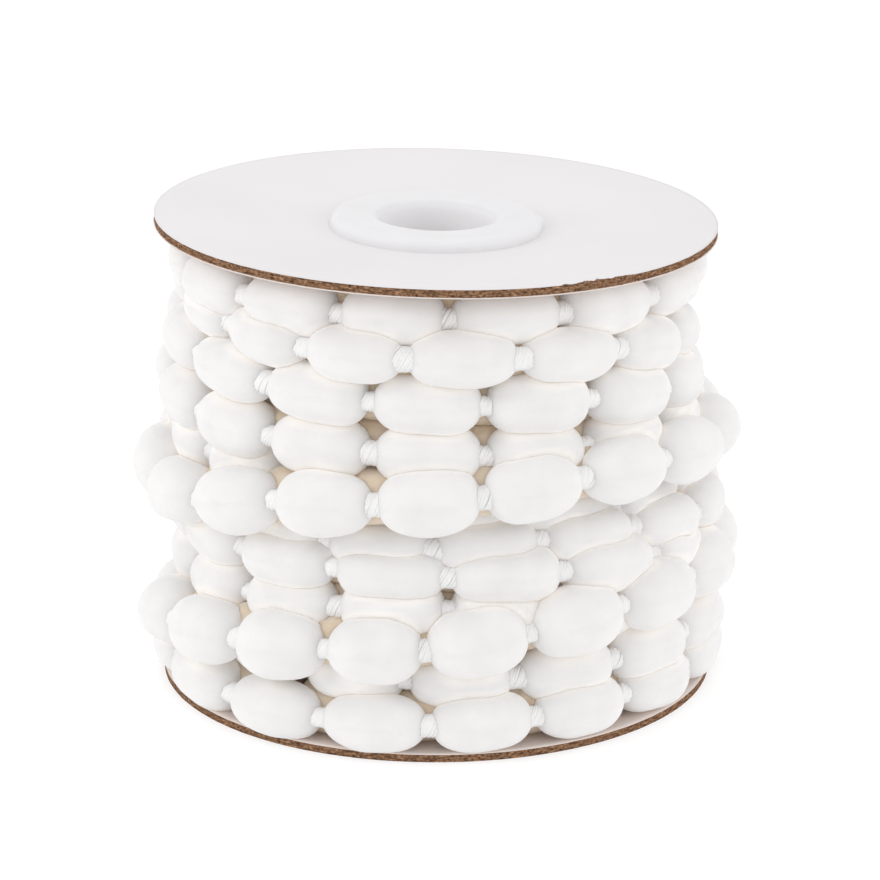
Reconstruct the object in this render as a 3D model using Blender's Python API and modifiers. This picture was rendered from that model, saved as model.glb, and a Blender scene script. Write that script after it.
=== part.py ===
"""Pompom trim wound on a reel: two card flanges, two plastic bushings and the wound trim.

The frame is in metres, +Z up, with the origin on the reel's axis at the underside of the
lower flange's rim.  Azimuths are measured from the front (-Y) towards +X.
"""
import math
from collections import namedtuple

import bmesh
import bpy
import numpy as np
from mathutils import Matrix, Vector
from mathutils.bvhtree import BVHTree

MM = 0.001

# Reel
FLANGE_RADIUS = 50.0 * MM
CARD_THICKNESS = 1.6 * MM
REEL_HEIGHT = 84.1 * MM           # over the two rims
DISH_DEPTH = 2.2 * MM             # how far each flange is drawn in at the middle
DISH_INNER_RADIUS = 19.0 * MM     # flat inside this radius
DISH_BENDS = (26.0 * MM, 38.5 * MM)
DISH_OUTER_RADIUS = 46.0 * MM     # flat outside this radius
FLANGE_TILT = math.radians(1.5)   # the upper flange is lower at +X
FLANGE_STEPS = 72
FIT_GAP = 0.3 * MM

# Bushings
BORE_RADIUS = 10.5 * MM
BUSH_RADIUS = 12.1 * MM
BUSH_LENGTH = 16.0 * MM           # below the card
COLLAR_RADIUS = 18.7 * MM
COLLAR_RISE = 2.15 * MM           # crest above the card
COLLAR_ROUNDING = 1.1 * MM
LIP_ROUNDING = 0.5 * MM
BUSH_STEPS = 40

# Trim
POMPOM_CLEARANCE = 0.7 * MM       # between the tips of two pompoms, inside the neck
POMPOM_FULLNESS = 2.9
POMPOM_BLUNTNESS = 2.2
NECK_RADIUS = 2.1 * MM
NECK_HALF_LENGTH = 2.6 * MM
PITCH = 19.0                      # millimetres from neck to neck, near enough

# Wound body
WOUND_FLOOR_RADIUS = 39.5 * MM    # bottom of the gaps between the turns
WOUND_BORE_RADIUS = 12.9 * MM
WOUND_STEPS = 330
WOUND_ROWS = 92
WOUND_TRIANGLES = 11400
RAY_START_RADIUS = 62.0 * MM

# One row for each visible turn of the trim, in the order it is wound: heights and radii of
# the string's line in millimetres at the named azimuths, the azimuths in degrees of three of
# its necks, and the pompoms' thickness in millimetres.  The first ten turns go down, the last
# two lie loose over them.
Turn = namedtuple("Turn", "name z_left z_fore_left z_front z_fore_right z_right z_back "
                          "r_left r_front r_right r_back neck_left neck neck_right pompom")
TURNS = (
    Turn("under_flange", 77.8, 77.2, 76.8, 76.4, 75.6, 74.6,
         43.6, 42.4, 43.6, 43.6, -47.0, 2.8, 55.5, 10.4),
    Turn("second", 72.4, 71.2, 70.8, 69.7, 65.8, 65.6,
         42.2, 46.2, 43.2, 43.6, -52.0, -6.4, 42.4, 9.8),
    Turn("third", 64.2, 63.2, 62.3, 61.2, 57.6, 56.6,
         44.8, 44.2, 44.2, 43.6, -39.4, 10.6, 60.0, 10.5),
    Turn("fourth", 54.0, 53.8, 53.3, 52.2, 50.7, 48.6,
         45.4, 44.2, 43.8, 43.6, -38.8, 10.6, 59.2, 10.5),
    Turn("crossed", 46.4, 46.2, 44.6, 40.2, 37.4, 40.0,
         43.8, 40.6, 43.0, 43.6, -37.3, -10.0, 45.5, 10.4),
    Turn("sixth", 37.2, 36.6, 36.4, 36.8, 33.3, 32.0,
         41.0, 43.6, 48.2, 44.0, -51.0, -0.7, 48.0, 9.3),
    Turn("seventh", 31.0, 32.4, 32.2, 31.4, 28.4, 24.8,
         43.8, 45.2, 45.6, 44.0, -48.3, 2.6, 52.2, 10.2),
    Turn("eighth", 22.8, 24.3, 26.0, 22.6, 19.8, 16.8,
         43.6, 44.6, 44.6, 43.8, -46.9, 2.6, 52.0, 10.4),
    Turn("ninth", 14.6, 13.4, 13.0, 13.5, 13.0, 6.4,
         41.8, 44.6, 48.2, 42.6, -56.0, -6.6, 63.0, 10.4),
    Turn("over_flange", 5.9, 5.9, 6.3, 6.9, 6.2, 11.6,
         47.2, 48.6, 47.8, 48.6, -47.0, -1.4, 42.2, 10.6),
    Turn("loose_lower", 15.0, 18.6, 20.3, 23.9, 24.0, 36.0,
         49.2, 48.8, 49.4, 47.6, -42.2, -2.2, 40.3, 12.3),
    Turn("loose_upper", 38.2, 44.3, 46.6, 49.2, 47.2, 50.0,
         49.4, 48.8, 49.8, 43.0, -33.6, 9.3, 50.9, 11.4),
)
HEIGHT_AZIMUTHS = (-70.0, -35.0, 0.0, 35.0, 70.0, 180.0)
RADIUS_AZIMUTHS = (-80.0, 0.0, 80.0, 180.0)

# Where a turn leaves its even path at the sides: azimuth in degrees, height and radius of the
# string's line in millimetres.
Bend = namedtuple("Bend", "turn azimuth height radius")
BENDS = (
    Bend("second", 100.0, 63.8, 42.4),
    Bend("third", 100.0, 55.4, 42.6),
    Bend("fourth", -100.0, 55.0, 46.4),
    Bend("sixth", 46.0, 36.0, 44.6),
    Bend("seventh", 46.0, 30.8, 46.6),
    Bend("over_flange", -130.0, 5.9, 44.0),
    Bend("over_flange", 125.0, 8.8, 50.4),
    Bend("loose_lower", -105.0, 10.8, 44.6),
    Bend("loose_lower", 102.0, 23.0, 49.8),
    Bend("loose_upper", -125.0, 41.2, 45.6),
    Bend("loose_upper", -98.0, 39.4, 49.2),
    Bend("loose_upper", 95.0, 45.4, 49.4),
    Bend("loose_upper", 120.0, 45.8, 45.0),
)
STRING_START = (-150.0, 75.2, 36.0)    # azimuth before the first turn's front, height, radius
STRING_END = (205.0, 55.5, 39.0)       # azimuth past the last turn's front, height, radius


# ---------------------------------------------------------------- scene and materials

def clear_scene():
    for obj in list(bpy.data.objects):
        bpy.data.objects.remove(obj, do_unlink=True)


def make_collection(name):
    collection = bpy.data.collections.new(name)
    bpy.context.scene.collection.children.link(collection)
    return collection


def make_material(name, colour, roughness, transmission=0.0):
    material = bpy.data.materials.new(name)
    material.use_nodes = True
    shader = material.node_tree.nodes["Principled BSDF"]
    shader.inputs["Base Color"].default_value = (*colour, 1.0)
    shader.inputs["Roughness"].default_value = roughness
    shader.inputs["Metallic"].default_value = 0.0
    shader.inputs["Transmission Weight"].default_value = transmission
    return material


def add_object(name, mesh, collection, material, parent):
    obj = bpy.data.objects.new(name, mesh)
    collection.objects.link(obj)
    mesh.materials.append(material)
    obj.parent = parent
    return obj


# ---------------------------------------------------------------- turned pieces

def turned_object(name, outline, steps, collection, material, parent):
    """A closed outline of (radius, height) points, turned about Z."""
    mesh = bpy.data.meshes.new(name)
    points = [(radius, 0.0, height) for radius, height in outline]
    edges = [(i, (i + 1) % len(points)) for i in range(len(points))]
    mesh.from_pydata(points, edges, [])
    obj = add_object(name, mesh, collection, material, parent)
    screw = obj.modifiers.new("turn", "SCREW")
    screw.axis = "Z"
    screw.angle = 2.0 * math.pi
    screw.steps = steps
    screw.render_steps = steps
    screw.use_merge_vertices = True
    screw.merge_threshold = 0.00001
    screw.use_smooth_shade = False
    return obj


def arc_points(centre, radius, start_deg, end_deg, count):
    """Points of a round, given by its centre (radius, height) and its two angles."""
    angles = [math.radians(start_deg + (end_deg - start_deg) * i / (count - 1)) for i in range(count)]
    return [(centre[0] + radius * math.cos(a), centre[1] + radius * math.sin(a)) for a in angles]


def dish(radius):
    """How far the card is drawn in at a radius."""
    span = DISH_OUTER_RADIUS - DISH_INNER_RADIUS
    t = min(max((DISH_OUTER_RADIUS - radius) / span, 0.0), 1.0)
    return DISH_DEPTH * t * t * (3.0 - 2.0 * t)


def flange_outline():
    """Outer face at height 0 on the rim, inner face one card thickness below it."""
    radii = (BUSH_RADIUS + FIT_GAP, DISH_INNER_RADIUS, *DISH_BENDS, DISH_OUTER_RADIUS,
             FLANGE_RADIUS)
    outer_face = [(radius, -dish(radius)) for radius in radii]
    inner_face = [(radius, -dish(radius) - CARD_THICKNESS) for radius in reversed(radii)]
    return outer_face + inner_face


def bush_outline():
    """Collar on the card's outer face and sleeve through it, in the flange's own frame."""
    card = -DISH_DEPTH
    crest = card + COLLAR_RISE
    seat = card + FIT_GAP
    rounding = COLLAR_ROUNDING
    lip = LIP_ROUNDING
    outline = arc_points((BORE_RADIUS + lip, crest - lip), lip, 180.0, 90.0, 3)
    outline += arc_points((COLLAR_RADIUS - rounding, crest - rounding), rounding, 90.0, 0.0, 4)
    outline.append((COLLAR_RADIUS, seat))
    outline.append((BUSH_RADIUS, seat))
    outline.append((BUSH_RADIUS, card - CARD_THICKNESS - BUSH_LENGTH))
    outline.append((BORE_RADIUS, card - CARD_THICKNESS - BUSH_LENGTH))
    return outline


# ---------------------------------------------------------------- the string's line

def smooth_track(knots, values, at):
    """Cubic curve through (knot, value) pairs, with slopes taken across each knot."""
    knots = np.asarray(knots)
    values = np.asarray(values)
    slopes = np.gradient(values, knots)
    i = np.clip(np.searchsorted(knots, at) - 1, 0, len(knots) - 2)
    width = knots[i + 1] - knots[i]
    t = (at - knots[i]) / width
    start = (1.0 + 2.0 * t) * (1.0 - t) ** 2 * values[i] + t * (1.0 - t) ** 2 * width * slopes[i]
    end = t * t * (3.0 - 2.0 * t) * values[i + 1] + t * t * (t - 1.0) * width * slopes[i + 1]
    return start + end


def string_knots():
    """Knots (azimuth, height) and (azimuth, radius) of the whole line, in millimetres."""
    last = 360.0 * (len(TURNS) - 1) + STRING_END[0]
    heights = [(STRING_START[0], STRING_START[1]), (last, STRING_END[1])]
    radii = [(STRING_START[0], STRING_START[2]), (last, STRING_END[2])]
    for index, turn in enumerate(TURNS):
        at = 360.0 * index
        turn_heights = (turn.z_left, turn.z_fore_left, turn.z_front, turn.z_fore_right,
                        turn.z_right, turn.z_back)
        turn_radii = (turn.r_left, turn.r_front, turn.r_right, turn.r_back)
        bends = [bend for bend in BENDS if bend.turn == turn.name]
        heights += [(at + azimuth, z) for azimuth, z in zip(HEIGHT_AZIMUTHS, turn_heights)]
        heights += [(at + bend.azimuth, bend.height) for bend in bends]
        radii += [(at + azimuth, r) for azimuth, r in zip(RADIUS_AZIMUTHS, turn_radii)]
        radii += [(at + bend.azimuth, bend.radius) for bend in bends]
    return sorted(heights), sorted(radii)


def string_line(step_deg=0.5):
    """Azimuths (degrees, running on from turn to turn) and points of the string's line."""
    heights, radii = string_knots()
    azimuths = np.arange(heights[0][0], heights[-1][0] + step_deg, step_deg)
    height = smooth_track(*zip(*heights), azimuths) * MM
    radius = smooth_track(*zip(*radii), azimuths) * MM
    angle = np.radians(azimuths)
    points = np.stack([radius * np.sin(angle), -radius * np.cos(angle), height], axis=1)
    return azimuths, points


def neck_points():
    """Each neck's point, and the thickness of the pompoms beside it.

    The necks are evenly spaced along the line between the three that each turn's row names.
    """
    azimuths, points = string_line()
    steps = np.linalg.norm(np.diff(points, axis=0), axis=1)
    along = np.concatenate([[0.0], np.cumsum(steps)])
    fixed = [np.interp(360.0 * i + azimuth, azimuths, along) for i, turn in enumerate(TURNS)
             for azimuth in (turn.neck_left, turn.neck, turn.neck_right)]
    places = list(np.arange(fixed[0], 0.0, -PITCH * MM))[:0:-1]
    for start, end in zip(fixed, fixed[1:]):
        count = round((end - start) / (PITCH * MM))
        places += [start + (end - start) * i / count for i in range(count)]
    places += list(np.arange(fixed[-1], along[-1], PITCH * MM))
    thickness = [turn.pompom * MM for turn in TURNS]
    return [(Vector([np.interp(s, along, points[:, axis]) for axis in range(3)]),
             np.interp(s, fixed[1::3], thickness)) for s in places]


# ---------------------------------------------------------------- pompoms and necks

def barrel_mesh():
    """A pompom of unit length and radius along X: full in the middle, blunt at the ends."""
    bm = bmesh.new()
    bmesh.ops.create_uvsphere(bm, u_segments=18, v_segments=14, radius=1.0)
    for vert in bm.verts:
        across = math.hypot(vert.co.x, vert.co.y)
        along = math.atan2(vert.co.z, across) / (math.pi / 2.0)
        width = max(1.0 - abs(along) ** POMPOM_FULLNESS, 0.0) ** (1.0 / POMPOM_BLUNTNESS)
        scale = width / across if across > 1e-6 else 0.0
        vert.co = Vector((along, vert.co.x * scale, vert.co.y * scale))
    mesh = bpy.data.meshes.new("pompom")
    bm.to_mesh(mesh)
    bm.free()
    return mesh


def neck_mesh():
    """A neck of unit length and radius along X."""
    bm = bmesh.new()
    bmesh.ops.create_cone(bm, cap_ends=True, segments=12, radius1=1.0, radius2=1.0, depth=2.0,
                          matrix=Matrix.Rotation(math.pi / 2.0, 4, "Y"))
    mesh = bpy.data.meshes.new("neck")
    bm.to_mesh(mesh)
    bm.free()
    return mesh


def placed(centre, axis, half_length, radius):
    rotation = axis.to_track_quat("X", "Z").to_matrix().to_4x4()
    return Matrix.Translation(centre) @ rotation @ Matrix.Diagonal((half_length, radius, radius, 1.0))


def string_surface():
    """A search tree of the whole string's surface, for the wound body to take its shape from."""
    necks = neck_points()
    pompom = barrel_mesh()
    neck = neck_mesh()
    bm = bmesh.new()

    def add(mesh, matrix):
        first = len(bm.verts)
        bm.from_mesh(mesh)
        bm.verts.ensure_lookup_table()
        bmesh.ops.transform(bm, matrix=matrix, verts=bm.verts[first:])

    for (start, thickness), (end, _) in zip(necks, necks[1:]):
        span = end - start
        half_length = (span.length - POMPOM_CLEARANCE) / 2.0
        add(pompom, placed((start + end) / 2.0, span.normalized(), half_length, thickness / 2.0))
    points = [point for point, _ in necks]
    for before, point, after in zip(points, points[1:], points[2:]):
        add(neck, placed(point, (after - before).normalized(), NECK_HALF_LENGTH, NECK_RADIUS))
    tree = BVHTree.FromBMesh(bm)
    bm.free()
    bpy.data.meshes.remove(pompom)
    bpy.data.meshes.remove(neck)
    return tree


# ---------------------------------------------------------------- wound body

def wound_profile():
    """The plain drum's outline between the flanges, before its wall takes the string's shape."""
    ends = (WOUND_BORE_RADIUS, DISH_INNER_RADIUS, *DISH_BENDS)
    low = CARD_THICKNESS + FIT_GAP
    high = REEL_HEIGHT - low
    wall_low = low + dish(ends[-1])
    wall_high = high - dish(ends[-1])
    drop = (wall_high - wall_low) / WOUND_ROWS
    outline = [(radius, high - dish(radius)) for radius in ends]
    outline += [(RAY_START_RADIUS, wall_high - drop * i) for i in range(WOUND_ROWS + 1)]
    outline += [(radius, low + dish(radius)) for radius in reversed(ends)]
    return outline


def wound_mesh():
    """The drum turned up point by point, its wall drawn in until it meets the string."""
    outline = wound_profile()
    tree = string_surface()
    bm = bmesh.new()
    ring = [bm.verts.new((radius, 0.0, height)) for radius, height in outline]
    edges = [bm.edges.new((a, b)) for a, b in zip(ring, ring[1:] + ring[:1])]
    bmesh.ops.spin(bm, geom=ring + edges, cent=(0.0, 0.0, 0.0), axis=(0.0, 0.0, 1.0),
                   angle=2.0 * math.pi, steps=WOUND_STEPS, use_merge=True)
    slope = math.tan(FLANGE_TILT)
    for vert in bm.verts:
        radius = math.hypot(vert.co.x, vert.co.y)
        outward = Vector((vert.co.x / radius, vert.co.y / radius, 0.0))
        on_wall = radius > RAY_START_RADIUS - FIT_GAP
        reach = WOUND_FLOOR_RADIUS if on_wall else radius
        vert.co.z -= slope * outward.x * reach * vert.co.z / REEL_HEIGHT
        if on_wall:
            hit = tree.ray_cast(vert.co, -outward)[0]
            found = math.hypot(hit.x, hit.y) if hit else 0.0
            vert.co.xy = outward.xy * max(found, WOUND_FLOOR_RADIUS)
    bmesh.ops.recalc_face_normals(bm, faces=bm.faces)
    mesh = bpy.data.meshes.new("trim_winding")
    bm.to_mesh(mesh)
    bm.free()
    return mesh


def thin_out(obj, triangles):
    """Fewer faces where the surface is nearly flat."""
    quads = len(obj.data.polygons)
    decimate = obj.modifiers.new("thin_out", "DECIMATE")
    decimate.decimate_type = "COLLAPSE"
    decimate.use_collapse_triangulate = True
    decimate.ratio = triangles / (2.0 * quads)


# ---------------------------------------------------------------- the object

def build():
    clear_scene()
    parts = make_collection("pompom_trim_reel")
    card = make_material("white_faced_card", (0.80, 0.78, 0.78), 0.75)
    plastic = make_material("milky_plastic", (0.86, 0.86, 0.88), 0.25, transmission=0.15)
    fibre = make_material("white_fibre", (0.88, 0.86, 0.83), 0.9)

    reel = bpy.data.objects.new("reel", None)
    parts.objects.link(reel)

    flange_bottom = turned_object("flange_bottom", flange_outline(), FLANGE_STEPS, parts, card, reel)
    flange_bottom.rotation_euler = (math.pi, 0.0, 0.0)
    hub_bottom = turned_object("hub_bottom", bush_outline(), BUSH_STEPS, parts, plastic, reel)
    hub_bottom.rotation_euler = (math.pi, 0.0, 0.0)

    flange_top = turned_object("flange_top", flange_outline(), FLANGE_STEPS, parts, card, reel)
    hub_top = turned_object("hub_top", bush_outline(), BUSH_STEPS, parts, plastic, reel)
    for obj in (flange_top, hub_top):
        obj.location = (0.0, 0.0, REEL_HEIGHT)
        obj.rotation_euler = (0.0, FLANGE_TILT, 0.0)

    winding = add_object("trim_winding", wound_mesh(), parts, fibre, reel)
    thin_out(winding, WOUND_TRIANGLES)


build()
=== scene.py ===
"""The looks of a white pompom trim wound on a card reel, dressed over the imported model.

Metres, +Z up, the reel's axis on Z, its lower rim on the floor.  Azimuths are measured from
the front (-Y) towards +X.
"""
import math
from collections import namedtuple
import bpy
import numpy as np
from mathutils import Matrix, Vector, noise


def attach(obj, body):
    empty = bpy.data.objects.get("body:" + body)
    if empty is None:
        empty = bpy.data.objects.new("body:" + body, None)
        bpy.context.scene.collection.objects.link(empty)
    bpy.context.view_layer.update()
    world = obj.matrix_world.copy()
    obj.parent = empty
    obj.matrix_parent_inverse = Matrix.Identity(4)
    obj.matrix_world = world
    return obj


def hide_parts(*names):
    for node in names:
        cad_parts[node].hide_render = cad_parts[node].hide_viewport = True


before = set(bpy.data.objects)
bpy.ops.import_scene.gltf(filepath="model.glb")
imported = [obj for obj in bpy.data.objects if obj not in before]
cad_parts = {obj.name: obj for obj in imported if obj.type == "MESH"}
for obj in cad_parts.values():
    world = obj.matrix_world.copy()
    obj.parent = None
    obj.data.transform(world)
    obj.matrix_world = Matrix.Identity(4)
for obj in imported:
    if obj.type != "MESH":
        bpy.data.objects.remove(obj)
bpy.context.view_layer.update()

MM = 0.001

# ---------------------------------------------------------------- driving dimensions

# Reel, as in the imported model
FLANGE_RADIUS = 50.0 * MM
CARD_THICKNESS = 1.6 * MM
REEL_HEIGHT = 84.1 * MM
DISH_DEPTH = 2.2 * MM
DISH_INNER_RADIUS = 19.0 * MM
DISH_OUTER_RADIUS = 46.0 * MM
FLANGE_TILT = math.radians(1.5)

# Card
TOP_PAPER = 0.06 * MM             # the outer face's paper
UNDER_PAPER = 0.20 * MM           # the inner face's paper
CORE_SETBACK = 0.16 * MM          # the brown core's edge, inside the paper's
CORE_ROUGHNESS = 0.11 * MM
RIM_STEPS = 900
CORE_ROWS = 9
FACE_RADII = (12.4, 14.0, 17.0, 20.0, 23.0, 26.0, 29.0, 32.0, 35.0, 38.0, 41.0, 44.0, 46.0, 48.0,
              49.2)               # millimetres, of the rings in the card's faces
TEAR_AZIMUTH = 33.0               # degrees, of the worn stretch of the upper rim
TEAR_WIDTH = 8.5                  # degrees to each side
TEAR_DEPTH = 1.0 * MM
TEAR_RISE = 0.30 * MM             # of the fibres raised along it
CARD_KINDS = ("paper", "board", "liner")

# Bushings
BORE_RADIUS = 10.5 * MM
BUSH_RADIUS = 12.1 * MM
BUSH_LENGTH = 16.0 * MM
COLLAR_RADIUS = 18.7 * MM
COLLAR_RISE = 2.15 * MM
LIP_RADIUS = 1.3 * MM
COLLAR_EDGE = 1.55 * MM           # radius of the collar's outer edge
COLLAR_FOOT = 0.50 * MM           # and of the fillet where it meets the card
COLLAR_CROWN = (14.0 * MM, 0.04 * MM)  # radius and rise of the collar's highest ring
BUSH_STEPS = 160
BURR_AZIMUTH = 96.0               # degrees, of the flash left on the upper collar's side
BURR_WIDTH = 4.0                  # degrees to each side
BURR_DEPTH = 0.5 * MM

# Pompoms
ROUNDNESS = 2.2                   # exponent of a pompom's section
POMPOM_CLEARANCE = 0.7 * MM       # between the tips of two pompoms, inside the neck
POMPOM_RINGS = 30
POMPOM_SIDES = 36
POMPOM_BOW = 0.45 * MM            # how far a pompom's middle stands out from its chord
LUMP_SHARE = 0.022
CONTACT_OVERLAP = 0.30 * MM       # how far pressed pompoms sink into each other
CONTACT_ROUNDING = 0.04           # share of the radius over which a pressed edge rounds off
CREASE_REACH = 0.42               # share of the radius over which the painted shade in the creases fades
SPOKE_ROOT = 0.78                 # share of the half length over which the spokes start
REACHES = np.linspace(0.0, 1.5, 31)  # shares of a spoke at which contact is looked for
BURIED_REACH = 0.3                # of a spoke that starts inside a neighbour
LEAST_SHARE = 0.25                # of a spoke that is left however hard it is pressed

# Necks
NECK_STRANDS = 12
NECK_RADIUS = 1.70 * MM           # of the strands' centre lines
STRAND_RADIUS = 0.31 * MM
NECK_HALF = 2.2 * MM
NECK_FLARE = 0.25 * MM
NECK_TWIST = 5.0                  # radians a strand turns over the neck
STRAND_STEPS = 13
STRAND_SIDES = 5
WAIST_SIDES = 12
NECK_SEED = 1000

# Layer under the visible one
INNER_DEPTH = 4.7 * MM            # of its string's line, inside the visible one's
INNER_THICKNESS = 10.4 * MM
INNER_FULLNESS = 3.6
INNER_RINGS = 14
INNER_SIDES = 20
INNER_SEED = 5000
DRUM_RADIUS = 40.0 * MM
DRUM_SIDES = 96
DRUM_GAP_ACROSS = 0.8 * MM        # to the bushing
DRUM_GAP_ALONG = 0.3 * MM         # to the card

# Camera, fitted to the four rims in the photo
LENS = 149.15                     # millimetres, on a sensor 36 mm wide
CAMERA_PLACE = (0.67 * MM, -627.198 * MM, 245.467 * MM)
CAMERA_PITCH = math.radians(90.0 - 17.98)

# Light
FLOOR_HALF = 6.0
FLOOR_GREY = 0.50
FLOOR_GLOW = 0.56
ROOM_GLOW = 0.975                 # straight above
HORIZON_SHARE = 0.96              # of that, at the horizon
LIT_POINT = (0.0, 0.0, 0.04)
Softbox = namedtuple("Softbox", "name place side watts")
SOFTBOXES = (
    Softbox("left_softbox", (-0.95, -0.40, 0.60), 0.35, 2.0),
    Softbox("right_softbox", (0.95, -0.30, 0.45), 0.40, 1.2),
)

# Colours, linear RGB: of the open pile, of the painted shade of the pile in its creases, and
# of the painted glow given off there, light painted into the pile though it is no lamp
Pile = namedtuple("Pile", "name clean shaded seep")
OUTER_PILE = Pile("white_pompom_pile", (0.823, 0.813, 0.806), (0.860, 0.838, 0.814),
                  (0.130, 0.115, 0.100))
# the under layer's pile is painted tan all over, a painted shade: it is the same white trim, in
# shade
INNER_PILE = Pile("shaded_inner_pile", (0.74, 0.64, 0.52), (0.70, 0.57, 0.43),
                  (0.020, 0.013, 0.008))
# and the darker and lighter tones of the paper: of its outer faces, and of its inner faces painted
# darker and warmer, a painted shade
OUTER_LINER = ("white_outer_liner", (0.790, 0.768, 0.778), (0.815, 0.792, 0.802))
SHADED_INNER_LINER = ("shaded_inner_liner", (0.745, 0.655, 0.610), (0.775, 0.690, 0.645))

# One row for each visible turn of the trim, in the order it is wound: heights and radii of
# the string's line in millimetres at the named azimuths, the azimuths in degrees of three of
# its necks, and the pompoms' thickness in millimetres and how blunt their ends are.
Turn = namedtuple("Turn", "name z_left z_fore_left z_front z_fore_right z_right z_back "
                          "r_left r_front r_right r_back neck_left neck neck_right "
                          "pompom fullness")
TURNS = (
    Turn("under_flange", 77.8, 77.2, 76.8, 76.4, 75.6, 74.6,
         43.6, 42.4, 43.6, 43.6, -47.0, 2.8, 55.5, 10.4, 3.3),
    Turn("second", 72.4, 71.2, 70.8, 69.7, 65.8, 65.6,
         42.2, 46.2, 43.2, 43.6, -52.0, -6.4, 42.4, 9.8, 2.8),
    Turn("third", 64.2, 63.2, 62.3, 61.2, 57.6, 56.6,
         44.8, 44.2, 44.2, 43.6, -39.4, 10.6, 60.0, 10.5, 3.4),
    Turn("fourth", 54.0, 53.8, 53.3, 52.2, 50.7, 48.6,
         45.4, 44.2, 43.8, 43.6, -38.8, 10.6, 59.2, 10.5, 3.3),
    Turn("crossed", 46.4, 46.2, 44.6, 40.2, 37.4, 40.0,
         43.8, 40.6, 43.0, 43.6, -37.3, -10.0, 45.5, 10.4, 3.2),
    Turn("sixth", 37.2, 36.6, 36.4, 36.8, 33.3, 32.0,
         41.0, 43.6, 48.2, 44.0, -51.0, -0.7, 48.0, 9.3, 3.3),
    Turn("seventh", 31.0, 32.4, 32.2, 31.4, 28.4, 24.8,
         43.8, 45.2, 45.6, 44.0, -48.3, 2.6, 52.2, 10.2, 3.4),
    Turn("eighth", 22.8, 24.3, 26.0, 22.6, 19.8, 16.8,
         43.6, 44.6, 44.6, 43.8, -46.9, 2.6, 52.0, 10.4, 3.3),
    Turn("ninth", 14.6, 13.4, 13.0, 13.5, 13.0, 6.4,
         41.8, 44.6, 48.2, 42.6, -56.0, -6.6, 63.0, 10.4, 3.1),
    Turn("over_flange", 5.9, 5.9, 6.3, 6.9, 6.2, 11.6,
         47.2, 48.6, 47.8, 48.6, -47.0, -1.4, 42.2, 10.6, 2.6),
    Turn("loose_lower", 15.0, 18.6, 20.3, 23.9, 24.0, 36.0,
         49.2, 48.8, 49.4, 47.6, -42.2, -2.2, 40.3, 12.3, 2.5),
    Turn("loose_upper", 38.2, 44.3, 46.6, 49.2, 47.2, 44.2,
         49.4, 48.8, 49.8, 33.5, -33.6, 9.3, 50.9, 11.4, 2.7),
)
HEIGHT_AZIMUTHS = (-70.0, -35.0, 0.0, 35.0, 70.0, 180.0)
RADIUS_AZIMUTHS = (-80.0, 0.0, 80.0, 180.0)
PITCH = 19.0                           # millimetres from neck to neck, near enough
STRING_START = (-150.0, 75.2, 36.0)    # azimuth before the first turn's front, height, radius
STRING_END = (195.0, 44.2, 32.0)       # azimuth past the last turn's front, height, radius

# Where a turn leaves its even path at the sides: azimuth in degrees, height and radius of the
# string's line in millimetres.
Bend = namedtuple("Bend", "turn azimuth height radius")
BENDS = (
    Bend("second", 100.0, 63.8, 42.4),
    Bend("third", 100.0, 55.4, 42.6),
    Bend("fourth", -100.0, 55.0, 46.4),
    Bend("sixth", 46.0, 36.0, 44.6),
    Bend("seventh", 46.0, 30.8, 46.6),
    Bend("over_flange", -130.0, 5.9, 44.0),
    Bend("over_flange", 125.0, 8.8, 50.4),
    Bend("loose_lower", -105.0, 10.8, 44.6),
    Bend("loose_lower", 102.0, 23.0, 49.8),
    Bend("loose_upper", -125.0, 41.2, 45.6),
    Bend("loose_upper", -98.0, 39.4, 49.2),
    Bend("loose_upper", 95.0, 45.4, 49.4),
    Bend("loose_upper", 120.0, 44.8, 45.8),
    Bend("loose_upper", 145.0, 44.2, 40.5),
)


# ---------------------------------------------------------------- materials

def new_material(name):
    material = bpy.data.materials.new(name)
    material.use_nodes = True
    nodes = material.node_tree.nodes
    nodes.clear()
    output = nodes.new("ShaderNodeOutputMaterial")
    shader = nodes.new("ShaderNodeBsdfPrincipled")
    material.node_tree.links.new(shader.outputs["BSDF"], output.inputs["Surface"])
    return material, shader


def link(material, source, target):
    material.node_tree.links.new(source, target)


def add_node(material, kind, **values):
    node = material.node_tree.nodes.new(kind)
    for name, value in values.items():
        if name in node.inputs:
            node.inputs[name].default_value = value
        else:
            setattr(node, name, value)
    return node


def texture_space(material, kind="Object", scale=(1.0, 1.0, 1.0)):
    coordinates = add_node(material, "ShaderNodeTexCoord")
    mapping = add_node(material, "ShaderNodeMapping")
    mapping.inputs["Scale"].default_value = scale
    link(material, coordinates.outputs[kind], mapping.inputs["Vector"])
    return mapping.outputs["Vector"]


def noise_value(material, vector, scale, detail=2.0, roughness=0.5):
    texture = add_node(material, "ShaderNodeTexNoise", Scale=scale, Detail=detail)
    texture.inputs["Roughness"].default_value = roughness
    link(material, vector, texture.inputs["Vector"])
    return texture.outputs["Fac"]


def ramp(material, factor, stops):
    """Colours (position, linear RGB) along a factor."""
    node = add_node(material, "ShaderNodeValToRGB")
    elements = node.color_ramp.elements
    while len(elements) < len(stops):
        elements.new(0.5)
    for element, (position, colour) in zip(elements, stops):
        element.position = position
        element.color = (*colour, 1.0)
    link(material, factor, node.inputs["Fac"])
    return node.outputs["Color"]


def mixed(material, factor, first, second, blend="MIX"):
    node = add_node(material, "ShaderNodeMix", data_type="RGBA", blend_type=blend)
    sockets = (node.inputs[0], node.inputs[6], node.inputs[7])
    for socket, value in zip(sockets, (factor, first, second)):
        if isinstance(value, (int, float)):
            socket.default_value = value
        elif isinstance(value, tuple):
            socket.default_value = (*value, 1.0)
        else:
            link(material, value, socket)
    return node.outputs[2]


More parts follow.
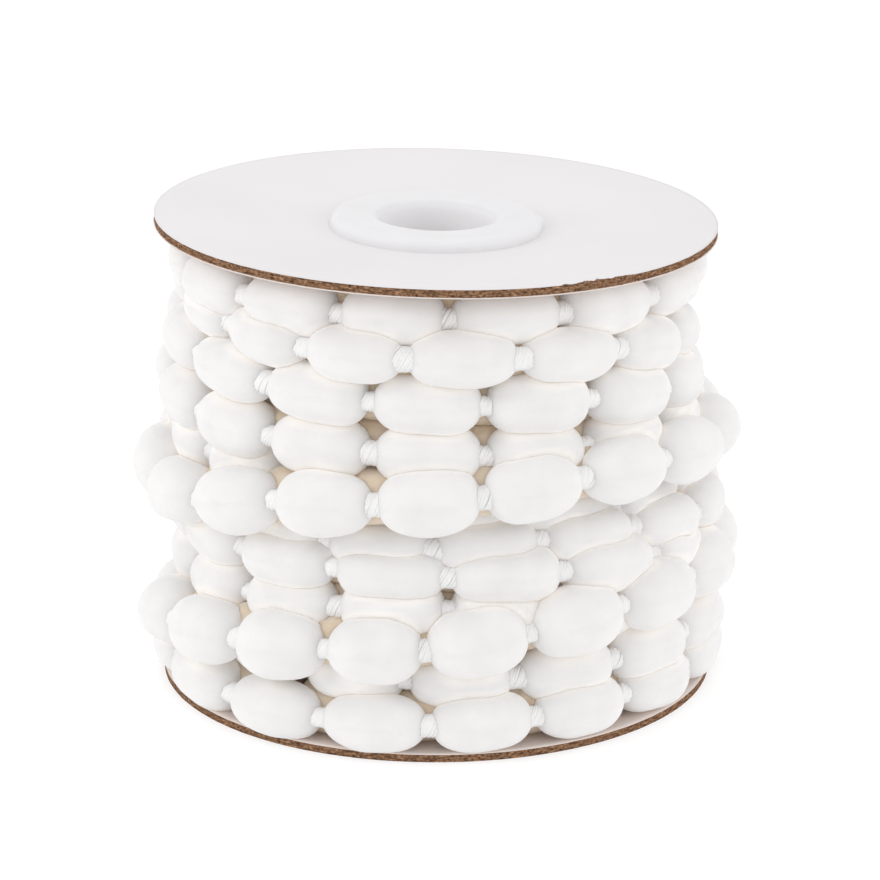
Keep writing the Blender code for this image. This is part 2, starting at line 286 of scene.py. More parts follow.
def bump(material, heights):
    """A chain of bumps from (height, strength, distance) rows."""
    normal = None
    for height, strength, distance in heights:
        node = add_node(material, "ShaderNodeBump", Strength=strength, Distance=distance)
        link(material, height, node.inputs["Height"])
        if normal is not None:
            link(material, normal, node.inputs["Normal"])
        normal = node.outputs["Normal"]
    return normal


def attribute(material, name):
    node = add_node(material, "ShaderNodeAttribute", attribute_name=name)
    return node.outputs["Fac"]


def fibre_material(pile):
    """Soft matt pile: white where open, with painted shade warming it in the creases and a painted
    glow given off there.
    """
    material, shader = new_material(pile.name)
    space = texture_space(material)
    strands = texture_space(material, "UV", (5.0, 150.0, 1.0))
    cloud = noise_value(material, space, 210.0, 3.0)
    # the share at the creases paints shade into the colour and a painted glow into the emission
    crease = attribute(material, "crease")
    colour = mixed(material, crease, pile.clean, pile.shaded)
    glow = mixed(material, crease, (0.0, 0.0, 0.0), pile.seep)
    link(material, glow, shader.inputs["Emission Color"])
    shader.inputs["Emission Strength"].default_value = 1.0
    tone = ramp(material, cloud, ((0.3, (0.955, 0.955, 0.96)), (0.7, (1.0, 1.0, 1.0))))
    link(material, mixed(material, 1.0, colour, tone, "MULTIPLY"), shader.inputs["Base Color"])
    nap = noise_value(material, space, 4200.0, 3.0, 0.6)
    felt = noise_value(material, space, 900.0, 3.0)
    lines = noise_value(material, strands, 1.0, 4.0, 0.6)
    heights = ((felt, 0.35, 0.00012), (lines, 0.35, 0.00012), (nap, 0.4, 0.00006))
    link(material, bump(material, heights), shader.inputs["Normal"])
    shader.inputs["Roughness"].default_value = 0.95
    shader.inputs["Specular IOR Level"].default_value = 0.2
    shader.inputs["Sheen Weight"].default_value = 0.25
    shader.inputs["Sheen Roughness"].default_value = 0.5
    shader.inputs["Subsurface Weight"].default_value = 0.50
    shader.inputs["Subsurface Radius"].default_value = (0.9, 0.9, 0.9)
    shader.inputs["Subsurface Scale"].default_value = 0.0030
    return material


def thread_material():
    """Glossy white binding thread."""
    material, shader = new_material("binding_thread")
    strands = texture_space(material, "UV", (2.0, 9.0, 1.0))
    lines = noise_value(material, strands, 2.0, 3.0)
    tone = ramp(material, lines, ((0.35, (0.86, 0.855, 0.85)), (0.6, (0.93, 0.93, 0.93))))
    link(material, tone, shader.inputs["Base Color"])
    link(material, bump(material, ((lines, 0.5, 0.0001),)), shader.inputs["Normal"])
    shader.inputs["Roughness"].default_value = 0.33
    shader.inputs["Specular IOR Level"].default_value = 0.6
    return material


def paper_material(name, darker, lighter):
    """Smooth liner paper with faint mottling between two tones."""
    material, shader = new_material(name)
    space = texture_space(material)
    cloud = noise_value(material, space, 38.0, 4.0)
    tone = ramp(material, cloud, ((0.3, darker), (0.7, lighter)))
    link(material, tone, shader.inputs["Base Color"])
    tooth = noise_value(material, space, 2400.0, 3.0)
    link(material, bump(material, ((cloud, 0.15, 0.0004), (tooth, 0.12, 0.00004))),
         shader.inputs["Normal"])
    shader.inputs["Roughness"].default_value = 0.62
    shader.inputs["Specular IOR Level"].default_value = 0.35
    return material


def board_material():
    """Raw brown edge of the card: layered fibres with dark and pale flecks."""
    material, shader = new_material("brown_board_edge")
    layers = texture_space(material, "UV", (420.0, 3400.0, 1.0))
    grains = texture_space(material, "UV", (1500.0, 2300.0, 1.0))
    band = noise_value(material, layers, 1.0, 4.0, 0.7)
    fleck = noise_value(material, grains, 1.0, 3.0, 0.7)
    base = ramp(material, band, ((0.30, (0.075, 0.038, 0.021)), (0.48, (0.195, 0.104, 0.058)),
                                 (0.70, (0.370, 0.225, 0.135))))
    spots = ramp(material, fleck, ((0.34, (0.25, 0.22, 0.20)), (0.48, (1.0, 1.0, 1.0)),
                                   (0.68, (1.9, 1.85, 1.75))))
    link(material, mixed(material, 1.0, base, spots, "MULTIPLY"), shader.inputs["Base Color"])
    link(material, bump(material, ((band, 0.7, 0.0003), (fleck, 0.6, 0.0002))),
         shader.inputs["Normal"])
    shader.inputs["Roughness"].default_value = 0.95
    shader.inputs["Specular IOR Level"].default_value = 0.15
    return material


def plastic_material():
    """Milky moulded plastic, painted paler inside the bore: painted light for the light that comes
    through its thin wall.
    """
    material, shader = new_material("milky_plastic")
    space = texture_space(material)
    cloud = noise_value(material, space, 160.0, 3.0)
    tone = ramp(material, cloud, ((0.3, (0.782, 0.774, 0.788)), (0.7, (0.806, 0.798, 0.812))))
    # painted light: paler inside the bore, by the share given with the bushing's points
    colour = mixed(material, attribute(material, "crease"), tone, (0.965, 0.955, 0.972))
    link(material, colour, shader.inputs["Base Color"])
    link(material, bump(material, ((cloud, 0.1, 0.0003),)), shader.inputs["Normal"])
    shader.inputs["Roughness"].default_value = 0.52
    shader.inputs["Specular IOR Level"].default_value = 0.4
    shader.inputs["Subsurface Weight"].default_value = 0.25
    shader.inputs["Subsurface Radius"].default_value = (0.002, 0.002, 0.0022)
    shader.inputs["Subsurface Scale"].default_value = 1.0
    return material


# ---------------------------------------------------------------- objects and meshes

def add_object(name, data):
    obj = bpy.data.objects.new(name, data)
    bpy.context.scene.collection.objects.link(obj)
    return obj


def mesh_piece(name, points, faces, materials, uvs=None, crease=None, kinds=None):
    """A smooth mesh of the object, riding on its body.  uvs has one pair for each point."""
    mesh = bpy.data.meshes.new(name)
    mesh.from_pydata([tuple(p) for p in points], [], faces)
    for material in materials:
        mesh.materials.append(material)
    mesh.polygons.foreach_set("use_smooth", [True] * len(mesh.polygons))
    if kinds is not None:
        mesh.polygons.foreach_set("material_index", kinds)
    if uvs is not None:
        corner_points = np.empty(len(mesh.loops), dtype=np.int64)
        mesh.loops.foreach_get("vertex_index", corner_points)
        layer = mesh.uv_layers.new(name="UVMap")
        layer.data.foreach_set("uv", np.asarray(uvs, dtype=np.float32)[corner_points].ravel())
    # the share of painted shade and painted light, a point attribute for the materials
    if crease is not None:
        layer = mesh.attributes.new("crease", "FLOAT", "POINT")
        layer.data.foreach_set("value", np.asarray(crease, dtype=np.float32))
    mesh.validate()
    mesh.update()
    obj = add_object(name, mesh)
    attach(obj, "root")
    return obj


def grid_faces(rows, columns, closed_rows=False, offset=0):
    """Quads of a grid of points whose columns run round in a ring."""
    last = rows if closed_rows else rows - 1
    faces = []
    for i in range(last):
        near = offset + i * columns
        far = offset + ((i + 1) % rows) * columns
        for j in range(columns):
            k = (j + 1) % columns
            faces.append((near + j, near + k, far + k, far + j))
    return faces


# ---------------------------------------------------------------- the string's line

def smooth_track(knots, values, at):
    """Cubic curve through (knot, value) pairs, with slopes taken across each knot."""
    knots = np.asarray(knots)
    values = np.asarray(values)
    slopes = np.gradient(values, knots)
    i = np.clip(np.searchsorted(knots, at) - 1, 0, len(knots) - 2)
    width = knots[i + 1] - knots[i]
    t = (at - knots[i]) / width
    start = (1.0 + 2.0 * t) * (1.0 - t) ** 2 * values[i] + t * (1.0 - t) ** 2 * width * slopes[i]
    end = t * t * (3.0 - 2.0 * t) * values[i + 1] + t * t * (t - 1.0) * width * slopes[i + 1]
    return start + end


def string_knots():
    """Knots (azimuth, height) and (azimuth, radius) of the whole line, in millimetres."""
    last = 360.0 * (len(TURNS) - 1) + STRING_END[0]
    heights = [(STRING_START[0], STRING_START[1]), (last, STRING_END[1])]
    radii = [(STRING_START[0], STRING_START[2]), (last, STRING_END[2])]
    for index, turn in enumerate(TURNS):
        at = 360.0 * index
        turn_heights = (turn.z_left, turn.z_fore_left, turn.z_front, turn.z_fore_right,
                        turn.z_right, turn.z_back)
        turn_radii = (turn.r_left, turn.r_front, turn.r_right, turn.r_back)
        bends = [bend for bend in BENDS if bend.turn == turn.name]
        heights += [(at + azimuth, z) for azimuth, z in zip(HEIGHT_AZIMUTHS, turn_heights)]
        heights += [(at + bend.azimuth, bend.height) for bend in bends]
        radii += [(at + azimuth, r) for azimuth, r in zip(RADIUS_AZIMUTHS, turn_radii)]
        radii += [(at + bend.azimuth, bend.radius) for bend in bends]
    return sorted(heights), sorted(radii)


def string_line(step_deg=0.5):
    """Azimuths (degrees, running on from turn to turn) and points of the string's line."""
    heights, radii = string_knots()
    azimuths = np.arange(heights[0][0], heights[-1][0] + step_deg, step_deg)
    height = smooth_track(*zip(*heights), azimuths) * MM
    radius = smooth_track(*zip(*radii), azimuths) * MM
    angle = np.radians(azimuths)
    points = np.stack([radius * np.sin(angle), -radius * np.cos(angle), height], axis=1)
    return azimuths, points


def neck_rows():
    """Points of the necks, and the thickness, bluntness and turn of the pompom after each."""
    azimuths, points = string_line()
    steps = np.linalg.norm(np.diff(points, axis=0), axis=1)
    along = np.concatenate([[0.0], np.cumsum(steps)])
    fixed = [np.interp(360.0 * i + azimuth, azimuths, along) for i, turn in enumerate(TURNS)
             for azimuth in (turn.neck_left, turn.neck, turn.neck_right)]
    places = list(np.arange(fixed[0], 0.0, -PITCH * MM))[:0:-1]
    for start, end in zip(fixed, fixed[1:]):
        count = round((end - start) / (PITCH * MM))
        places += [start + (end - start) * i / count for i in range(count)]
    places += list(np.arange(fixed[-1], along[-1], PITCH * MM))
    fronts = fixed[1::3]
    thickness = np.interp(places, fronts, [turn.pompom * MM for turn in TURNS])
    fullness = np.interp(places, fronts, [turn.fullness for turn in TURNS])
    middle = [np.interp(360.0 * i - 180.0, azimuths, along) for i in range(1, len(TURNS))]
    turns = np.searchsorted(middle, places)
    found = np.stack([np.interp(places, along, points[:, axis]) for axis in range(3)], axis=1)
    return found, thickness, fullness, turns


# ---------------------------------------------------------------- pompoms

Pompom = namedtuple("Pompom", "centre axis side out half_length radius fullness turn seed")


def unit(vector):
    return vector / np.linalg.norm(vector)


def make_pompom(start, end, thickness, fullness, turn, seed):
    centre = (start + end) / 2.0
    axis = unit(end - start)
    out = unit(centre * np.array([1.0, 1.0, 0.0]))
    side = unit(np.cross(axis, out))
    out = np.cross(side, axis)
    half_length = (np.linalg.norm(end - start) - POMPOM_CLEARANCE) / 2.0
    return Pompom(centre + out * POMPOM_BOW * 0.5, axis, side, out, half_length, thickness / 2.0,
                  fullness, turn, seed)


def depth_sum(points, pompom):
    """Below 1 inside the free form of a pompom, 1 on its surface and above 1 outside."""
    offset = points - pompom.centre
    along = offset @ pompom.axis
    across = np.sqrt(np.maximum((offset ** 2).sum(axis=-1) - along ** 2, 0.0))
    return (np.abs(along / pompom.half_length) ** pompom.fullness
            + (across / pompom.radius) ** ROUNDNESS)


def even_profile(fullness, slimness, rings):
    """Places along (-1 to 1) and widths (0 to 1) of rings spaced evenly over the outline."""
    turned = np.linspace(0.0, math.pi, 721)
    u = np.sign(np.cos(turned)) * np.abs(np.cos(turned)) ** (2.0 / fullness)
    w = np.sin(turned) ** (2.0 / ROUNDNESS)
    steps = np.hypot(np.diff(u) * slimness, np.diff(w))
    along = np.concatenate([[0.0], np.cumsum(steps)])
    places = np.linspace(0.0, along[-1], rings + 2)[1:-1]
    return np.interp(places, along, u), np.interp(places, along, w)


def free_form(pompom, rings, sides):
    """Points of a pompom with nothing pressing on it, and the spokes' inner ends."""
    draw = np.random.default_rng(pompom.seed)
    fullness = pompom.fullness * draw.uniform(0.9, 1.1)
    u, w = even_profile(fullness, pompom.half_length / pompom.radius, rings)
    u = np.concatenate([np.repeat(u, sides), [1.0, -1.0]])
    w = np.concatenate([np.repeat(w, sides), [0.0, 0.0]])
    angle = np.concatenate([np.tile(np.linspace(0.0, 2.0 * math.pi, sides, endpoint=False), rings),
                            [0.0, 0.0]])
    phases = draw.uniform(0.0, 2.0 * math.pi, 5)
    lumps = (np.sin(2.0 * angle + phases[0] + 1.5 * u)
             + 0.8 * np.sin(3.0 * angle + phases[1] - 2.0 * u)
             + 0.7 * np.sin(4.0 * u + phases[2]) * np.cos(angle + phases[3])
             + 0.5 * np.sin(7.0 * u + phases[4]))
    taper = draw.uniform(-0.05, 0.05)
    size = draw.uniform(0.965, 1.03)
    width = pompom.radius * w * size * (1.0 + LUMP_SHARE * lumps + taper * u)
    bow = POMPOM_BOW * (0.5 - u * u)
    points = (pompom.centre + np.outer(u * pompom.half_length, pompom.axis)
              + np.outer(width * np.cos(angle) + bow, pompom.out)
              + np.outer(width * np.sin(angle), pompom.side))
    anchors = pompom.centre + np.outer(SPOKE_ROOT * u * pompom.half_length, pompom.axis)
    uvs = np.stack([u * 0.5 + 0.5 + pompom.seed * 3.7, angle / (2.0 * math.pi)], axis=1)
    return points, anchors, uvs


def nearest_contact(anchors, spokes, own, others):
    """How far along each spoke, as a share of it, the pompom meets a neighbour."""
    samples = anchors[:, None] + REACHES[None, :, None] * spokes[:, None]
    own_sum = depth_sum(samples, own)
    nearest = np.full(len(anchors), REACHES[-1])
    rows = np.arange(len(anchors))
    step = REACHES[1]
    for other in others:
        over = own_sum - depth_sum(samples, other)
        first = np.argmax(over > 0.0, axis=1)
        met = (over > 0.0).any(axis=1) & (first > 0)
        before = over[rows, np.maximum(first - 1, 0)]
        after = over[rows, first]
        share = np.clip(-before / np.maximum(after - before, 1e-9), 0.0, 1.0)
        reach = np.where(met, (first - 1 + share) * step, REACHES[-1])
        reach = np.where(over[:, 0] > 0.0, BURIED_REACH, reach)
        nearest = np.minimum(nearest, reach)
    return nearest


def flange_contact(anchors, spokes):
    """The same for the inner faces of the two flanges."""
    low = CARD_THICKNESS
    high = REEL_HEIGHT - CARD_THICKNESS
    slope = math.tan(FLANGE_TILT)
    nearest = np.full(len(anchors), REACHES[-1])
    rise = spokes[:, 2] + slope * spokes[:, 0]
    room = high - anchors[:, 2] - slope * anchors[:, 0]
    up = rise > 1e-6
    nearest[up] = np.minimum(nearest[up], room[up] / rise[up])
    down = np.flatnonzero(spokes[:, 2] < -1e-6)
    reach = (low - anchors[down, 2]) / spokes[down, 2]
    touch = anchors[down, :2] + reach[:, None] * spokes[down, :2]
    on_card = np.linalg.norm(touch, axis=1) < FLANGE_RADIUS
    nearest[down[on_card]] = np.minimum(nearest[down[on_card]], reach[on_card])
    return nearest


def soft_minimum(a, b, width):
    """The lower of two arrays, rounded where they cross."""
    h = np.clip(0.5 + 0.5 * (b - a) / width, 0.0, 1.0)
    return b * (1.0 - h) + a * h - width * h * (1.0 - h)


def pressed_form(pompom, neighbours, rings, sides):
    """A pompom's points where its neighbours and the flanges press on it, and its painted crease
    shade.
    """
    points, anchors, uvs = free_form(pompom, rings, sides)
    spokes = points - anchors
    reach = nearest_contact(anchors, spokes, pompom, neighbours)
    reach = np.minimum(reach, flange_contact(anchors, spokes))
    # painted shade and glow, strongest where the pompom is pressed
    crease = np.clip((1.0 + CREASE_REACH - reach) / CREASE_REACH, 0.0, 1.0) ** 2
    lengths = np.linalg.norm(spokes, axis=1)
    limit = np.maximum(reach + CONTACT_OVERLAP / lengths, LEAST_SHARE)
    share = soft_minimum(np.ones(len(reach)), limit, CONTACT_ROUNDING)
    return anchors + spokes * share[:, None], crease, uvs


def pompom_faces(rings, sides, offset):
    """Quads of the rings, and a fan at each tip."""
    faces = grid_faces(rings, sides, offset=offset)
    first_tip = offset + rings * sides
    last_tip = first_tip + 1
    last_ring = offset + (rings - 1) * sides
    for j in range(sides):
        k = (j + 1) % sides
        faces.append((first_tip, offset + k, offset + j))
        faces.append((last_tip, last_ring + j, last_ring + k))
    return faces


def pompom_piece(name, pompoms, everything, material, rings, sides):
    """The pompoms of one turn as one mesh."""
    points = []
    uvs = []
    creases = []
    faces = []
    for pompom in pompoms:
        near = [other for other in everything if other is not pompom
                and np.linalg.norm(other.centre - pompom.centre)
                < other.half_length + pompom.half_length]
        formed, crease, uv = pressed_form(pompom, near, rings, sides)
        faces += pompom_faces(rings, sides, len(points) * len(formed))
        points.append(formed)
        uvs.append(uv)
        creases.append(crease)
    return mesh_piece(name, np.concatenate(points), faces, [material],
                      np.concatenate(uvs), np.concatenate(creases))


# ---------------------------------------------------------------- necks

def neck_strands(point, axis, seed):
    """Points and uvs of the slanting strands that bind one neck: strands x steps x sides."""
    draw = np.random.default_rng(seed)
    out = unit(point * np.array([1.0, 1.0, 0.0]))
    side = unit(np.cross(axis, out))
    out = np.cross(side, axis)
    s = np.linspace(-1.0, 1.0, STRAND_STEPS)
    starts = 2.0 * math.pi * np.arange(NECK_STRANDS) / NECK_STRANDS
    starts = starts + draw.uniform(-0.10, 0.10, NECK_STRANDS) + draw.uniform(0.0, 2.0 * math.pi)
    twist = NECK_TWIST * draw.uniform(0.8, 1.15)
    angle = starts[:, None] - 0.5 * twist * s[None, :]
    radius = (NECK_RADIUS * draw.uniform(0.85, 1.15) + NECK_FLARE * s ** 2)[None, :]
    radius = radius + draw.uniform(-0.05, 0.05, (NECK_STRANDS, 1)) * MM
    along = (NECK_HALF * s)[None, :] + draw.uniform(-0.12, 0.12, (NECK_STRANDS, 1)) * MM
    radial = np.cos(angle)[..., None] * out + np.sin(angle)[..., None] * side
    line = point + along[..., None] * axis + radius[..., None] * radial
    tangent = np.gradient(line, axis=1)
    tangent /= np.linalg.norm(tangent, axis=2, keepdims=True)
    across = np.cross(tangent, radial)
    across /= np.linalg.norm(across, axis=2, keepdims=True)
    turn = np.linspace(0.0, 2.0 * math.pi, STRAND_SIDES, endpoint=False)
    cosines = np.cos(turn)[None, None, :, None]
    sines = np.sin(turn)[None, None, :, None]
    spread = cosines * radial[:, :, None] + sines * across[:, :, None]
    points = line[:, :, None] + STRAND_RADIUS * spread
    u = np.broadcast_to(s[None, :, None], points.shape[:3])
    v = np.broadcast_to(turn[None, None, :] / (2.0 * math.pi), points.shape[:3])
    uvs = np.stack([u + seed, v], axis=-1)
    return points.reshape(-1, 3), uvs.reshape(-1, 2)


def neck_core(point, axis):
    """The plain waist inside the strands."""
    side = unit(np.cross(axis, np.array([0.0, 0.0, 1.0])))
    other = np.cross(side, axis)
    angle = np.linspace(0.0, 2.0 * math.pi, WAIST_SIDES, endpoint=False)
    ring = NECK_RADIUS * (np.outer(np.cos(angle), side) + np.outer(np.sin(angle), other))
    return np.concatenate([point + ring + axis * NECK_HALF * s for s in (-1.0, 1.0)])


def neck_piece(name, points, axes, seeds, material):
    """The necks of one turn as one mesh."""
    per_strand = STRAND_STEPS * STRAND_SIDES
    found = []
    uvs = []
    faces = []
    count = 0
    for point, axis, seed in zip(points, axes, seeds):
        formed, uv = neck_strands(point, axis, seed)
        for i in range(NECK_STRANDS):
            faces += grid_faces(STRAND_STEPS, STRAND_SIDES, offset=count + i * per_strand)
        count += len(formed)
        found.append(formed)
        uvs.append(uv)
        core = neck_core(point, axis)
        faces += grid_faces(2, WAIST_SIDES, offset=count)
        count += len(core)
        found.append(core)
        uvs.append(np.zeros((len(core), 2)))
    return mesh_piece(name, np.concatenate(found), faces, [material],
                      np.concatenate(uvs))


# ---------------------------------------------------------------- winding

def inner_pompoms(points):
    """The layer of trim under the visible one: its pompoms lie behind the visible necks."""
    outward = points * np.array([1.0, 1.0, 0.0])
    outward /= np.linalg.norm(outward, axis=1, keepdims=True)
    middles = (points[:-1] + points[1:]) / 2.0 - INNER_DEPTH * outward[:-1]
    return [make_pompom(middles[i], middles[i + 1], INNER_THICKNESS, INNER_FULLNESS, 0,
                        INNER_SEED + i) for i in range(len(middles) - 1)]


def core_drum(material):
    """Plain drum in the tan painted shade of the under layer, which closes the view between the
    inner pompoms.
    """
    low = CARD_THICKNESS + DISH_DEPTH + DRUM_GAP_ALONG
    high = REEL_HEIGHT - low
    within = BUSH_RADIUS + DRUM_GAP_ACROSS
    outline = [(within, low), (DRUM_RADIUS, low), (DRUM_RADIUS, high), (within, high)]
    angle = np.linspace(0.0, 2.0 * math.pi, DRUM_SIDES, endpoint=False)
    points = [(r * math.sin(a), -r * math.cos(a), z) for r, z in outline for a in angle]
    faces = grid_faces(len(outline), DRUM_SIDES, closed_rows=True)
    uvs = np.zeros((len(points), 2))
    return mesh_piece("inner_core", points, faces, [material], uvs, np.zeros(len(points)))


def build_winding():
    white = fibre_material(OUTER_PILE)
    # the under layer and the drum get the tan painted shade
    tan = fibre_material(INNER_PILE)
    thread = thread_material()
    points, thickness, fullness, turns = neck_rows()
    pompoms = [make_pompom(points[i], points[i + 1], thickness[i], fullness[i], turns[i], i + 1)
               for i in range(len(points) - 1)]
    inner = inner_pompoms(points)
    axes = np.gradient(points, axis=0)
    axes /= np.linalg.norm(axes, axis=1, keepdims=True)
    stand_in = None
    for index, turn in enumerate(TURNS):
        own = [p for p in pompoms if p.turn == index]
        piece = pompom_piece(f"pompoms_{turn.name}", own, pompoms, white,
                             POMPOM_RINGS, POMPOM_SIDES)
        stand_in = stand_in or piece
        chosen = np.flatnonzero(turns == index)
        neck_piece(f"necks_{turn.name}", points[chosen], axes[chosen], chosen + NECK_SEED, thread)
    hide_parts("trim_winding")
    pompom_piece("inner_pompoms", inner, inner + pompoms, tan, INNER_RINGS, INNER_SIDES)
    core_drum(tan)


# ---------------------------------------------------------------- flanges

def dish(radius):
    """How far the card is drawn in at a radius."""
    span = DISH_OUTER_RADIUS - DISH_INNER_RADIUS
    t = min(max((DISH_OUTER_RADIUS - radius) / span, 0.0), 1.0)
    return DISH_DEPTH * t * t * (3.0 - 2.0 * t)


def rough(azimuth, height, scale, seed):
    """Smooth noise round the rim, about -1 to 1."""
    x = FLANGE_RADIUS * math.sin(azimuth) * scale
    y = FLANGE_RADIUS * math.cos(azimuth) * scale
    return noise.noise(Vector((x, y, height * scale * 2.0 + seed)))


def tear(azimuth):
    """How worn the rim is at an azimuth, 0 to 1."""
    away = (math.degrees(azimuth) - TEAR_AZIMUTH) / TEAR_WIDTH
    return math.exp(-away ** 4)


def flange_rows(worn):
    """Rows of (radius function, height, paper) down the card's section, in the flange's frame."""
    core_top = -TOP_PAPER
    core_low = -CARD_THICKNESS + UNDER_PAPER

    def top_edge(azimuth):
        frayed = tear(azimuth) * (0.45 + 0.75 * rough(azimuth, 0.0, 900.0, 3.0)) if worn else 0.0
        return FLANGE_RADIUS - 0.05 * MM + 0.04 * MM * rough(azimuth, 0.0, 500.0, 1.0) \
            - TEAR_DEPTH * max(frayed, 0.0)

    def core_edge(height):
        def edge(azimuth):
            depth = CORE_ROUGHNESS * (rough(azimuth, height, 2600.0, 5.0)
                                      + 0.7 * rough(azimuth, height, 700.0, 6.0))
            return FLANGE_RADIUS - CORE_SETBACK + depth
        return edge

    def under_edge(azimuth):
        return FLANGE_RADIUS - 0.02 * MM + 0.03 * MM * rough(azimuth, 0.0, 400.0, 9.0)

    def fixed(radius):
        return lambda azimuth: radius

    rows = [(fixed(r * MM), -dish(r * MM), "paper") for r in FACE_RADII]
    rows += [(top_edge, -0.01 * MM, "paper"), (top_edge, core_top, "board")]
    for i in range(CORE_ROWS):
        height = core_top + (core_low - core_top) * (i + 0.5) / CORE_ROWS
        rows.append((core_edge(height), height, "board"))
    rows += [(core_edge(core_low), core_low, "liner"), (under_edge, core_low, "liner"),
             (under_edge, -CARD_THICKNESS, "liner")]
    rows += [(fixed(r * MM), -dish(r * MM) - CARD_THICKNESS, "liner")
             for r in reversed(FACE_RADII)]
    return rows


def flange_piece(name, node, flip, place, tilt, worn, materials):
    """One card flange, its rim at a height; the lower one is the upper one flipped."""
    rows = flange_rows(worn)
    azimuths = np.linspace(-math.pi, math.pi, RIM_STEPS, endpoint=False)
    direction = -1.0 if flip else 1.0
    lean = math.sin(tilt)
    points = []
    uvs = []
    for edge, height, _ in rows:
        for azimuth in azimuths:
            radius = edge(azimuth)
            x = radius * math.sin(azimuth)
            y = -radius * math.cos(azimuth)
            z = height * direction
            raised = 0.0
            if worn and abs(height + TOP_PAPER) < 0.001 * MM:
                raised = TEAR_RISE * tear(azimuth) * abs(rough(azimuth, 0.0, 1700.0, 2.0))
            points.append((x * math.cos(tilt) + (z + raised) * lean, y,
                           place + z + raised - x * lean))
            uvs.append((azimuth * FLANGE_RADIUS, height))
    count = len(rows)
    faces = []
    kinds = []
    for i in range(count):
        near = i * RIM_STEPS
        far = ((i + 1) % count) * RIM_STEPS
        kind = CARD_KINDS.index(rows[i][2])
        for j in range(RIM_STEPS):
            k = (j + 1) % RIM_STEPS
            quad = (near + j, near + k, far + k, far + j)
            faces.append(quad if flip else quad[::-1])
            kinds.append(kind)
    piece = mesh_piece(name, points, faces, materials, uvs, kinds=kinds)
    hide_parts(node)
    return piece


# ---------------------------------------------------------------- bushings

def arc_points(centre, radius, start_deg, end_deg, count):
    angles = [math.radians(start_deg + (end_deg - start_deg) * i / (count - 1))
              for i in range(count)]
    return [(centre[0] + radius * math.cos(a), centre[1] + radius * math.sin(a))
            for a in angles]


def bush_outline():
    """Rows of (radius, height, share of the painted light in the bore) round the bushing's
    section.
    """
    card = -DISH_DEPTH
    crest = card + COLLAR_RISE
    seat = card - 0.02 * MM
    foot = card - CARD_THICKNESS - BUSH_LENGTH
    outline = [(BORE_RADIUS, z, 1.0) for z in np.linspace(foot, crest - 3.0 * MM, 7)]
    lip = arc_points((BORE_RADIUS + LIP_RADIUS, crest - LIP_RADIUS), LIP_RADIUS, 180.0, 90.0, 10)
    outline += [(r, z, max(1.0 - 0.3 * i, 0.0)) for i, (r, z) in enumerate(lip)]
    outline += [(COLLAR_CROWN[0], crest + COLLAR_CROWN[1], 0.0)]
    outline += [(r, z, 0.0) for r, z in collar_side(crest, seat)]
    outline += [(BUSH_RADIUS, seat, 0.0), (BUSH_RADIUS, foot, 0.0)]
    return outline


def collar_side(crest, seat):
    """The collar's outer edge, its upright side and the small fillet at its foot."""
    edge = arc_points((COLLAR_RADIUS - COLLAR_EDGE, crest - COLLAR_EDGE), COLLAR_EDGE,
                      90.0, 6.0, 9)
    foot = arc_points((COLLAR_RADIUS + COLLAR_FOOT, seat + COLLAR_FOOT), COLLAR_FOOT,
                      180.0, 270.0, 5)
    return edge + foot


def bush_piece(name, node, flip, place, tilt, material):
    """One bushing: its collar on the card's outer face and its sleeve through the card."""
    outline = bush_outline()
    angles = np.linspace(0.0, 2.0 * math.pi, BUSH_STEPS, endpoint=False)
    direction = -1.0 if flip else 1.0
    points = []
    pale = []
    # the share of painted light, full in the bore and fading over the lip
    for outline_radius, height, bore_light_share in outline:
        pale += [bore_light_share] * BUSH_STEPS
        on_side = 0.0 if flip or outline_radius < COLLAR_RADIUS - 0.5 * COLLAR_EDGE else 1.0
        for angle in angles:
            away = (math.degrees(angle) - BURR_AZIMUTH) / BURR_WIDTH
            radius = outline_radius + on_side * BURR_DEPTH * math.exp(-away ** 4)
            x = radius * math.sin(angle)
            z = height * direction
            points.append((x * math.cos(tilt) + z * math.sin(tilt), -radius * math.cos(angle),
                           place + z - x * math.sin(tilt)))
    faces = grid_faces(len(outline), BUSH_STEPS, closed_rows=True)
    if flip:
        faces = [face[::-1] for face in faces]
    piece = mesh_piece(name, points, faces, [material], crease=pale)
    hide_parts(node)
    return piece


def build_reel():
    paper = paper_material(*OUTER_LINER)
    # the inner faces' paper, in painted shade
    liner = paper_material(*SHADED_INNER_LINER)
    card = [paper, board_material(), liner]
    plastic = plastic_material()
    flange_piece("card_flange_top", "flange_top", False, REEL_HEIGHT, FLANGE_TILT, True, card)
    flange_piece("card_flange_bottom", "flange_bottom", True, 0.0, 0.0, False, card)
    bush_piece("bushing_top", "hub_top", False, REEL_HEIGHT, FLANGE_TILT, plastic)
    bush_piece("bushing_bottom", "hub_bottom", True, 0.0, 0.0, plastic)


# ---------------------------------------------------------------- setting

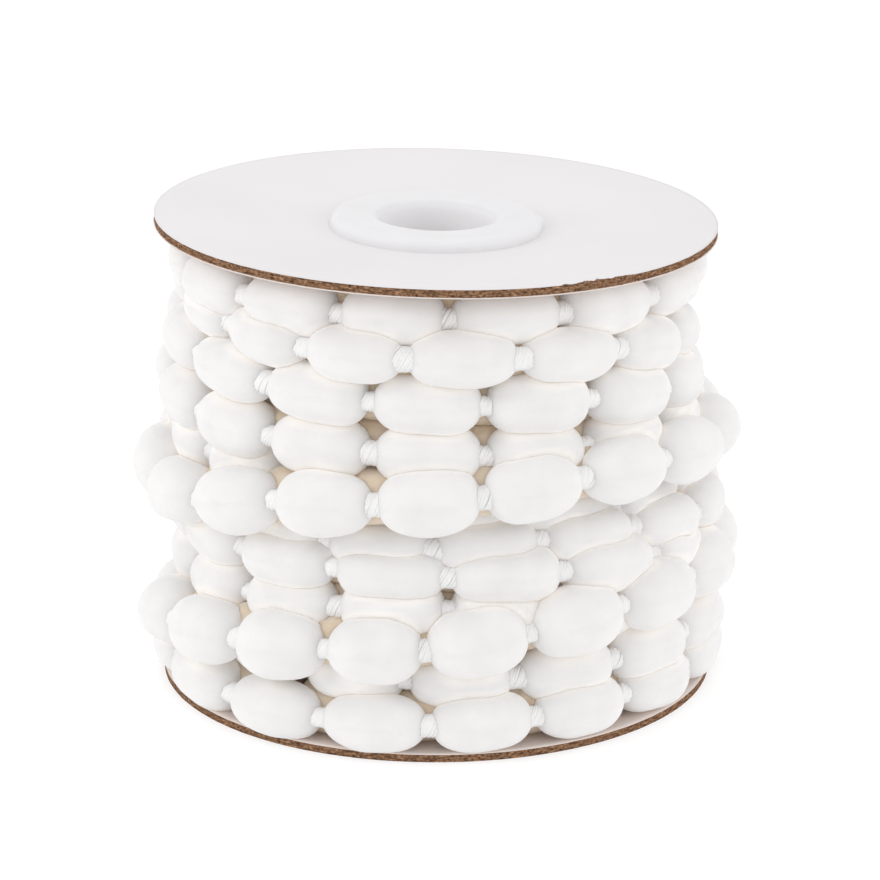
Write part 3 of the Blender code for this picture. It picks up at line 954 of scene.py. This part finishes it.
def build_floor():
    """A plain white floor, with a faint glow of its own as a lit table has."""
    material, shader = new_material("pale_floor")
    shader.inputs["Base Color"].default_value = (FLOOR_GREY, FLOOR_GREY, FLOOR_GREY, 1.0)
    shader.inputs["Roughness"].default_value = 0.9
    shader.inputs["Specular IOR Level"].default_value = 0.0
    shader.inputs["Emission Color"].default_value = (1.0, 1.0, 1.0, 1.0)
    shader.inputs["Emission Strength"].default_value = FLOOR_GLOW
    mesh = bpy.data.meshes.new("floor")
    corners = [(-FLOOR_HALF, -FLOOR_HALF, 0.0), (FLOOR_HALF, -FLOOR_HALF, 0.0),
               (FLOOR_HALF, FLOOR_HALF, 0.0), (-FLOOR_HALF, FLOOR_HALF, 0.0)]
    mesh.from_pydata(corners, [], [(0, 1, 2, 3)])
    mesh.materials.append(material)
    add_object("floor", mesh)


def add_softbox(softbox):
    lamp = bpy.data.lights.new(softbox.name, "AREA")
    lamp.shape = "RECTANGLE"
    lamp.size = lamp.size_y = softbox.side
    lamp.energy = softbox.watts
    obj = add_object(softbox.name, lamp)
    obj.location = softbox.place
    way = Vector(LIT_POINT) - Vector(softbox.place)
    obj.rotation_euler = way.to_track_quat("-Z", "Y").to_euler()


def build_lights():
    """An even white room, a little darker at the horizon, and a softbox at each side."""
    world = bpy.data.worlds.new("white_room")
    bpy.context.scene.world = world
    world.use_nodes = True
    nodes = world.node_tree.nodes
    background = nodes["Background"]
    background.inputs["Strength"].default_value = ROOM_GLOW
    ways = nodes.new("ShaderNodeTexCoord")
    parts = nodes.new("ShaderNodeSeparateXYZ")
    height = nodes.new("ShaderNodeMapRange")
    height.inputs["To Min"].default_value = HORIZON_SHARE
    world.node_tree.links.new(ways.outputs["Generated"], parts.inputs["Vector"])
    world.node_tree.links.new(parts.outputs["Z"], height.inputs["Value"])
    world.node_tree.links.new(height.outputs["Result"], background.inputs["Color"])
    for softbox in SOFTBOXES:
        add_softbox(softbox)


def build_camera():
    """Looks down at the reel from a little to its front, with no roll."""
    camera = bpy.data.cameras.new("camera")
    camera.sensor_width = 36.0
    camera.lens = LENS
    camera.clip_end = 20.0
    obj = add_object("camera", camera)
    obj.location = CAMERA_PLACE
    obj.rotation_euler = (CAMERA_PITCH, 0.0, 0.0)
    bpy.context.scene.camera = obj


def build_colour():
    view = bpy.context.scene.view_settings
    view.view_transform = "Standard"
    view.look = "None"


# ---------------------------------------------------------------- all

build_camera()
build_reel()
build_winding()
build_floor()
build_lights()
build_colour()
